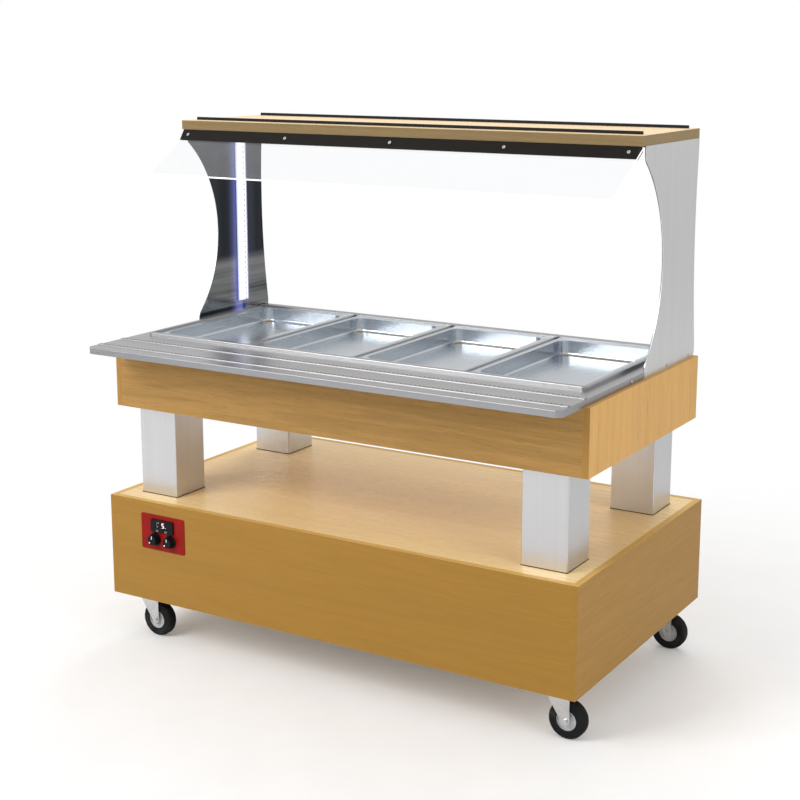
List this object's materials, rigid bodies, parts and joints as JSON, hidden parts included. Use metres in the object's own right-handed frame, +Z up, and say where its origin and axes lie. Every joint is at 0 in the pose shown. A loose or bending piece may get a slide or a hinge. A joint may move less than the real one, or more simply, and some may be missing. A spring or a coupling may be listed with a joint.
{
  "type": "food service trolley",
  "caption": "Refrigerated buffet trolley: wooden base cabinet on braked castors, steel posts, cold well with lift-out pans, tray slide and a lit overshelf with sneeze guard.",
  "frame": {"origin": "on the floor under the middle of the whole object's box", "axes": "+X along the length to the guests' right, guests stand at -Y, +Z up"},
  "size_m": [1.45, 0.908, 1.466],
  "materials": {
    "apron_oak": "light oak laminate with fine level grain, satin",
    "base_oak": "golden brown oak laminate, satin",
    "shelf_oak": "light oak laminate, semi-gloss",
    "plywood": "bare plywood, matt",
    "brushed_steel": "brushed stainless sheet",
    "well_steel": "pressed stainless, semi-bright",
    "polished_steel": "smooth stainless sheet, near mirror inside",
    "clear_guard": "clear sheet with bright edges",
    "dark_profile": "dark anodised profile, satin",
    "black_plastic": "moulded black plastic",
    "display_glass": "gloss display window",
    "red_plate": "red painted plate, satin",
    "zinc_steel": "bright zinc plated pressings",
    "black_tyre": "black rubber tyre on a grey plastic hub",
    "foam": "rigid insulating foam",
    "copper": "copper tube",
    "black_paint": "black enamel",
    "fin_aluminium": "plain aluminium",
    "blade_plastic": "grey moulded plastic",
    "gasket_rubber": "black rubber",
    "light_diffuser": "frosted diffuser"
  },
  "bodies": {
    "root": {"apron_back": "apron_oak", "apron_floor": "plywood", "apron_front": "apron_oak", "apron_sides": "apron_oak", "base_back": "base_oak", "base_floor": "plywood", "base_front": "base_oak", "base_sides": "base_oak", "castor_plates": "zinc_steel", "castor_screws": "zinc_steel", "compressor": "black_paint", "condenser": "fin_aluminium", "control_plate": "red_plate", "counter_frame": "plywood", "countertop": "brushed_steel", "cross_bars": "well_steel", "display_window": "display_glass", "drain_pipe": "blade_plastic", "evaporator_coil": "copper", "fan_motor": "black_paint", "gallery_rails": "black_plastic", "guard_profile": "dark_profile", "light_housings": "fin_aluminium", "light_lenses": "light_diffuser", "light_supply": "black_plastic", "mains_inlet": "black_plastic", "overshelf": "shelf_oak", "panel_screws": "zinc_steel", "plate_shelf": "shelf_oak", "post_bolts": "zinc_steel", "posts": "brushed_steel", "refrigerant_lines": "copper", "rubber_pads": "gasket_rubber", "side_panels": "polished_steel", "sneeze_guard": "clear_guard", "switch_bodies": "black_plastic", "thermostat_case": "black_plastic", "unit_tray": "zinc_steel", "well_basin": "well_steel", "well_insulation": "foam"},
    "swivel_front_left": {"fork_front_left": "zinc_steel"},
    "wheel_front_left": {"wheel_front_left": "black_tyre"},
    "swivel_front_right": {"fork_front_right": "zinc_steel"},
    "wheel_front_right": {"wheel_front_right": "black_tyre"},
    "swivel_back_left": {"fork_back_left": "zinc_steel"},
    "wheel_back_left": {"wheel_back_left": "black_tyre"},
    "swivel_back_right": {"fork_back_right": "zinc_steel"},
    "wheel_back_right": {"wheel_back_right": "black_tyre"},
    "brake_pedal_front_left": {"brake_pedal_front_left": "black_plastic"},
    "brake_pedal_back_left": {"brake_pedal_back_left": "black_plastic"},
    "knob_power": {"knob_power": "black_plastic"},
    "knob_light": {"knob_light": "black_plastic"},
    "key_down": {"key_down": "black_plastic"},
    "key_up": {"key_up": "black_plastic"},
    "fan": {"fan_blades": "blade_plastic"},
    "drain_lever": {"drain_lever": "zinc_steel"},
    "pan_1": {"pan_1": "well_steel"},
    "pan_2": {"pan_2": "well_steel"},
    "pan_3": {"pan_3": "well_steel"},
    "pan_4": {"pan_4": "well_steel"}
  },
  "joints": [
    {"name": "swivel_front_left_turn", "type": "hinge", "parent": "root", "child": "swivel_front_left", "pos_m": [-0.648, -0.29, 0.125], "axis": [0, 0, 1], "continuous": true},
    {"name": "wheel_front_left_roll", "type": "hinge", "parent": "swivel_front_left", "child": "wheel_front_left", "pos_m": [-0.622, -0.29, 0.05], "axis": [0, 1, 0], "continuous": true},
    {"name": "swivel_front_right_turn", "type": "hinge", "parent": "root", "child": "swivel_front_right", "pos_m": [0.648, -0.29, 0.125], "axis": [0, 0, 1], "continuous": true},
    {"name": "wheel_front_right_roll", "type": "hinge", "parent": "swivel_front_right", "child": "wheel_front_right", "pos_m": [0.674, -0.29, 0.05], "axis": [0, 1, 0], "continuous": true},
    {"name": "swivel_back_left_turn", "type": "hinge", "parent": "root", "child": "swivel_back_left", "pos_m": [-0.648, 0.378, 0.125], "axis": [0, 0, 1], "continuous": true},
    {"name": "wheel_back_left_roll", "type": "hinge", "parent": "swivel_back_left", "child": "wheel_back_left", "pos_m": [-0.622, 0.378, 0.05], "axis": [0, 1, 0], "continuous": true},
    {"name": "swivel_back_right_turn", "type": "hinge", "parent": "root", "child": "swivel_back_right", "pos_m": [0.648, 0.378, 0.125], "axis": [0, 0, 1], "continuous": true},
    {"name": "wheel_back_right_roll", "type": "hinge", "parent": "swivel_back_right", "child": "wheel_back_right", "pos_m": [0.674, 0.378, 0.05], "axis": [0, 1, 0], "continuous": true},
    {"name": "brake_pedal_front_left_press", "type": "hinge", "parent": "swivel_front_left", "child": "brake_pedal_front_left", "pos_m": [-0.619, -0.29, 0.1147], "axis": [0, 1, 0], "range_deg": [0, 20]},
    {"name": "brake_pedal_back_left_press", "type": "hinge", "parent": "swivel_back_left", "child": "brake_pedal_back_left", "pos_m": [-0.619, 0.378, 0.1147], "axis": [0, 1, 0], "range_deg": [0, 20]},
    {"name": "knob_power_turn", "type": "hinge", "parent": "root", "child": "knob_power", "pos_m": [-0.5625, -0.37, 0.32], "axis": [0, 1, 0], "range_deg": [0, 90]},
    {"name": "knob_light_turn", "type": "hinge", "parent": "root", "child": "knob_light", "pos_m": [-0.5095, -0.37, 0.32], "axis": [0, 1, 0], "range_deg": [0, 90]},
    {"name": "key_down_press", "type": "slide", "parent": "root", "child": "key_down", "axis": [0, 1, 0], "range_m": [0, 0.0008], "stiffness_N_per_m": 300},
    {"name": "key_up_press", "type": "slide", "parent": "root", "child": "key_up", "axis": [0, 1, 0], "range_m": [0, 0.0008], "stiffness_N_per_m": 300},
    {"name": "fan_spin", "type": "hinge", "parent": "root", "child": "fan", "pos_m": [0.05, 0.35, 0.263], "axis": [0, 1, 0], "continuous": true},
    {"name": "drain_lever_turn", "type": "hinge", "parent": "root", "child": "drain_lever", "pos_m": [0.59, 0.297, 0.117], "axis": [0, 1, 0], "range_deg": [-90, 0]},
    {"name": "pan_1_lift", "type": "slide", "parent": "root", "child": "pan_1", "axis": [0, 0, 1], "range_m": [0, 0.15]},
    {"name": "pan_2_lift", "type": "slide", "parent": "root", "child": "pan_2", "axis": [0, 0, 1], "range_m": [0, 0.15]},
    {"name": "pan_3_lift", "type": "slide", "parent": "root", "child": "pan_3", "axis": [0, 0, 1], "range_m": [0, 0.15]},
    {"name": "pan_4_lift", "type": "slide", "parent": "root", "child": "pan_4", "axis": [0, 0, 1], "range_m": [0, 0.15]}
  ]
}
